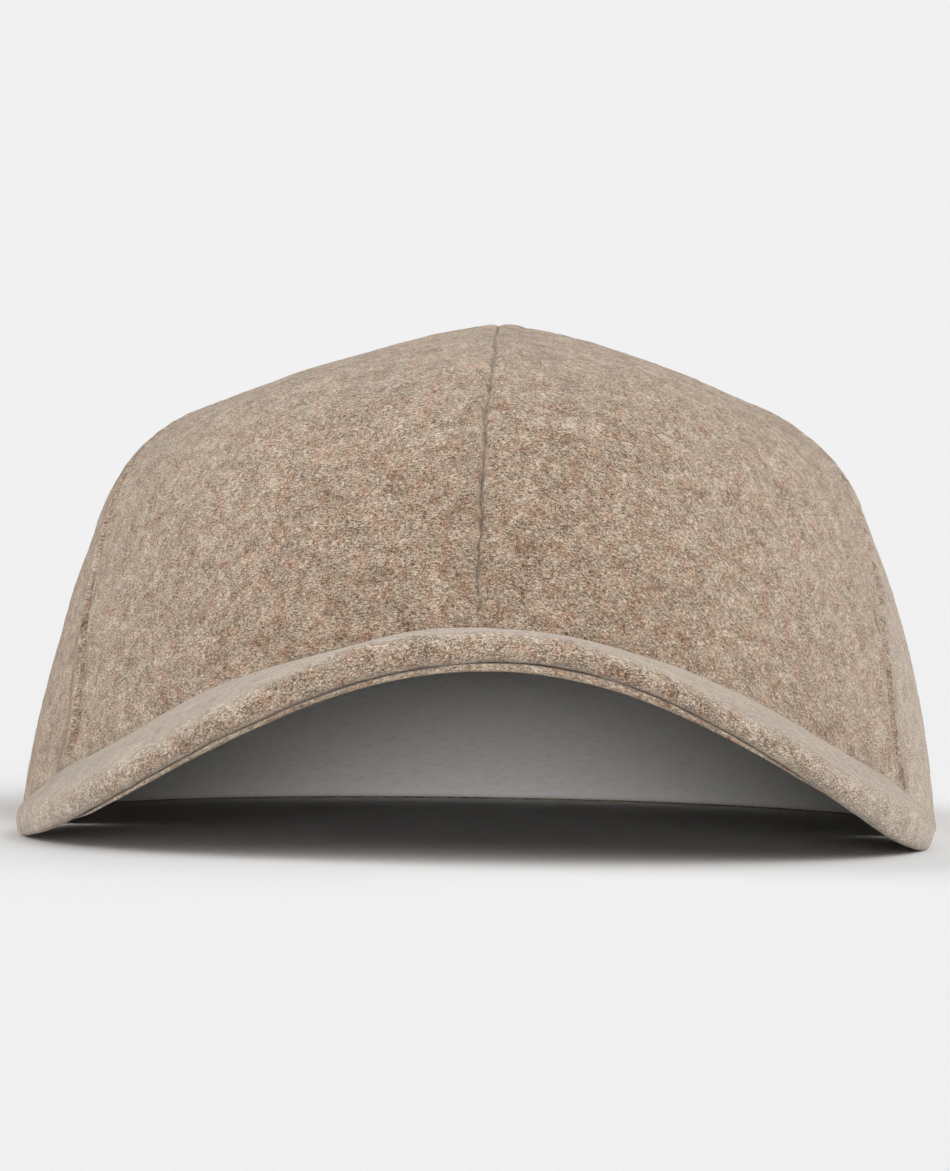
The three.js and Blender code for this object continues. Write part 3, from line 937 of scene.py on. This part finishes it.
def band_section(sizes, count=360):
    """Loops of the sweatband: the crown's inner side followed at even heights, a thin strip with rounded
    edges, a line of stitching sunk near its top and slow waves inwards."""
    turn = np.linspace(0.0, 2 * np.pi, count, endpoint=False)
    rim_level = hem_level(turn)
    rim = crown(rim_level, turn)
    degrees = np.degrees(np.abs((turn + np.pi) % (2 * np.pi) - np.pi))
    over_peak = 1 - smooth(HEM_DROP_START, HEM_DROP_END, degrees)
    low = BAND_LIFT + (arch(rim[:, 0]) + root_lift(rim[:, 0])) * over_peak
    inside = np.linspace(1.0, BAND_HEIGHT - 1.0, 15)
    rise = np.concatenate([[0.0, 0.3], inside, [BAND_HEIGHT - 0.3, BAND_HEIGHT]])
    z = low[:, None] + rise[None, :]
    lower, upper = np.zeros_like(z), np.full_like(z, 5.0)
    around = np.broadcast_to(turn[:, None], z.shape)
    for _ in range(36):
        mid = (lower + upper) / 2
        below = crown(mid, around)[..., 2] < z
        lower, upper = np.where(below, mid, lower), np.where(below, upper, mid)
    p = crown(lower, around)
    p[..., 2] = z
    flat = crown_normal(lower, around)
    flat[..., 2] = 0
    flat /= np.linalg.norm(flat, axis=-1, keepdims=True)
    depth = BAND_DEPTH * (1 + 0.35 * smooth(35, 75, z))
    rounded = np.sqrt(np.clip(1 - (2 * rise / BAND_HEIGHT - 1) ** 40, 0.15, 1))
    thick = sizes.band_thickness / MM * rounded
    stitch = 0.25 * bump(rise - (BAND_HEIGHT - 3.0), 0.5)
    ripple = np.maximum(0.25 * wobble(p, 30.0, 91), -0.2) * smooth(2, 12, rise)
    outer = p - flat * depth[..., None]
    inner = p - flat * (depth + thick - stitch + ripple)[..., None]
    return np.concatenate([outer[:, ::-1], inner], axis=1)


class CAP_OT_band(bpy.types.Operator):
    """Make the sweatband inside the hem"""

    bl_idname = "cap.band"
    bl_label = "Sweatband"

    def execute(self, context):
        sizes, colours = context.scene.cap_sizes, context.scene.cap_colours
        points = band_section(sizes)
        loops, n = points.shape[:2]
        quads, _ = loft_faces(loops, n, True)
        piece = make_piece("sweatband_cotton", points.reshape(-1, 3), quads)
        name = "woven_cotton_tape"
        cotton = shared(name, lambda: woven_cotton_tape(name, colours.band_colour))
        piece.data.materials.append(cotton)
        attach(piece, "root")
        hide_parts("sweatband")
        return {"FINISHED"}


class CAP_OT_button(bpy.types.Operator):
    """Make the button where the panels meet, covered in the crown's wool"""

    bl_idname = "cap.button"
    bl_label = "Covered button"

    def execute(self, context):
        sizes, colours = context.scene.cap_sizes, context.scene.cap_colours
        low, high = (np.asarray(v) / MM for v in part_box("top_button"))
        centre = (low + high) / 2
        cloth = [bpy.data.objects.get(name + "_wool") for name in PANELS]
        if None in cloth:
            raise RuntimeError("make the crown panels first: the button sits on them")
        ground = np.concatenate([vertices_of(piece) for piece in cloth])
        ground = ground[np.hypot(ground[:, 0] - centre[0], ground[:, 1] - centre[1]) < 10.0]
        ground = ground[ground[:, 2] > ground[:, 2].max() - 6.0]
        radius = sizes.button_radius / MM
        angle = np.radians(np.linspace(-90, 90, 30))
        reach = radius * np.maximum(np.cos(angle), 1e-4) ** 0.75
        rise = np.sin(angle)
        height = np.where(angle < 0, BUTTON_RIM * (1 + rise), BUTTON_RIM + BUTTON_DOME * rise) - BUTTON_SINK
        turn = np.linspace(0, 2 * np.pi, 96, endpoint=False)
        gather = 1 + 0.02 * np.cos(9 * turn)[:, None] * smooth(0.3, 1.0, reach / radius) * (height > 0.0)
        r = reach[None, :] * gather
        x = centre[0] + r * np.cos(turn)[:, None]
        y = centre[1] + r * np.sin(turn)[:, None]
        near = (x[..., None] - ground[:, 0]) ** 2 + (y[..., None] - ground[:, 1]) ** 2
        under = np.take(ground[:, 2], np.argmin(near, axis=-1))
        level = np.median(under)
        z = under + (level - under) * smooth(0.2, 2.6, height) + height
        dome = np.stack([x, y, z], axis=-1)[:, 1:-1]
        rows, columns = dome.shape[1], dome.shape[0]
        grid = np.swapaxes(dome, 0, 1)
        quads, caps = loft_faces(rows, columns, False)
        uv = np.stack([grid[..., 0] - centre[0], grid[..., 1] - centre[1]], axis=-1).reshape(-1, 2)
        piece = make_piece("top_button_wool", grid.reshape(-1, 3), quads, caps, uv)
        piece.data.materials.append(wool("crown", colours))
        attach(piece, "root")
        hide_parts("top_button")
        return {"FINISHED"}


def lamp(name, energy, elevation, azimuth, angle):
    """A distant soft lamp: elevation above the floor, azimuth from the front to the picture's right."""
    data = bpy.data.lights.new(name, "SUN")
    data.energy = energy
    data.angle = math.radians(angle)
    made = bpy.data.objects.new(name, data)
    e, a = math.radians(elevation), math.radians(azimuth)
    towards = Vector((math.sin(a) * math.cos(e), -math.cos(a) * math.cos(e), math.sin(e)))
    made.rotation_euler = towards.to_track_quat("Z", "Y").to_euler()
    bpy.context.scene.collection.objects.link(made)
    return made


def studio_world(ambient, seen):
    """Even light from all round; camera rays see the plain backdrop grey instead."""
    world = bpy.data.worlds.new("studio_surround")
    world.use_nodes = True
    tree = world.node_tree
    tree.nodes.clear()
    around = node(tree, "ShaderNodeBackground", {"Color": (1.0, 1.0, 1.0, 1.0), "Strength": ambient})
    behind = node(tree, "ShaderNodeBackground", {"Color": linear(seen), "Strength": 1.0})
    path = node(tree, "ShaderNodeLightPath")
    both = node(
        tree,
        "ShaderNodeMixShader",
        {0: path.outputs["Is Camera Ray"], 1: around.outputs[0], 2: behind.outputs[0]},
    )
    node(tree, "ShaderNodeOutputWorld", {"Surface": both.outputs[0]})
    bpy.context.scene.world = world


def photo_camera():
    """The photograph's camera: level, at its distance from the crown's centre, turned, panned and rolled as
    found."""
    data = bpy.data.cameras.new("photo_camera")
    data.lens = CAMERA_LENS
    data.sensor_width = 36.0
    data.clip_end = 50.0
    made = bpy.data.objects.new("photo_camera", data)
    focal = CAMERA_LENS / 36.0 * FRAME_PX[1]
    pan = math.atan((FRAME_CENTRE_PX[0] - FRAME_PX[0] / 2) / focal)
    pitch = math.atan((FRAME_CENTRE_PX[1] - FRAME_PX[1] / 2) / focal)
    turn = Matrix.Rotation(math.radians(CAMERA_TURN), 4, "Z")
    place = Vector((0.0, CROWN_CENTRE_Y * MM, CAMERA_HEIGHT * MM))
    place += turn @ Vector((0.0, -CAMERA_DISTANCE * MM, 0.0))
    aim = turn @ Matrix.Rotation(pan, 4, "Z") @ Matrix.Rotation(math.pi / 2 + pitch, 4, "X")
    made.matrix_world = Matrix.Translation(place) @ aim @ Matrix.Rotation(math.radians(CAMERA_ROLL), 4, "Z")
    bpy.context.scene.collection.objects.link(made)
    bpy.context.scene.camera = made


class CAP_OT_stage(bpy.types.Operator):
    """Make the pale floor, the soft studio light and the photograph's camera"""

    bl_idname = "cap.stage"
    bl_label = "Studio"

    def execute(self, context):
        albedo = context.scene.cap_colours.floor_albedo
        side = np.linspace(-6000.0, 6000.0, 13)
        x, y = np.meshgrid(side, side)
        floor = np.stack([x, y, np.zeros_like(x)], axis=-1)
        at = np.arange(x.size).reshape(x.shape)
        quads = np.stack([at[:-1, :-1], at[:-1, 1:], at[1:, 1:], at[1:, :-1]], -1).reshape(-1, 4)
        piece = make_piece("studio_floor", floor.reshape(-1, 3), quads)
        piece.data.materials.append(studio_paper("seamless_paper", albedo))
        studio_world(AMBIENT, BACKDROP)
        for name, energy, elevation, azimuth, angle in zip(*LAMPS.values()):
            lamp(name, energy, elevation, azimuth, angle)
        photo_camera()
        context.scene.view_settings.view_transform = "Standard"
        return {"FINISHED"}


class CAP_PT_panel(bpy.types.Panel):
    """Sizes and colours of the cap, and a button for each group of its pieces"""

    bl_label = "Peaked Cap"
    bl_idname = "CAP_PT_panel"
    bl_space_type = "VIEW_3D"
    bl_region_type = "UI"
    bl_category = "Cap"

    def draw(self, context):
        for group in (context.scene.cap_sizes, context.scene.cap_colours):
            box = self.layout.box()
            for key in group.__annotations__:
                box.prop(group, key)
        for made in OPERATORS:
            self.layout.operator(made.bl_idname)


OPERATORS = (CAP_OT_crown, CAP_OT_peak, CAP_OT_band, CAP_OT_button, CAP_OT_stage)
CLASSES = (CapSizes, CapColours) + OPERATORS + (CAP_PT_panel,)


def register():
    for made in CLASSES:
        bpy.utils.register_class(made)
    bpy.types.Scene.cap_sizes = bpy.props.PointerProperty(type=CapSizes)
    bpy.types.Scene.cap_colours = bpy.props.PointerProperty(type=CapColours)


def unregister():
    del bpy.types.Scene.cap_colours
    del bpy.types.Scene.cap_sizes
    for made in reversed(CLASSES):
        bpy.utils.unregister_class(made)


def main():
    """Registers the add-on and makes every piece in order."""
    register()
    bpy.ops.cap.crown()
    bpy.ops.cap.peak()
    bpy.ops.cap.band()
    bpy.ops.cap.button()
    bpy.ops.cap.stage()


if __name__ == "__main__":
    main()
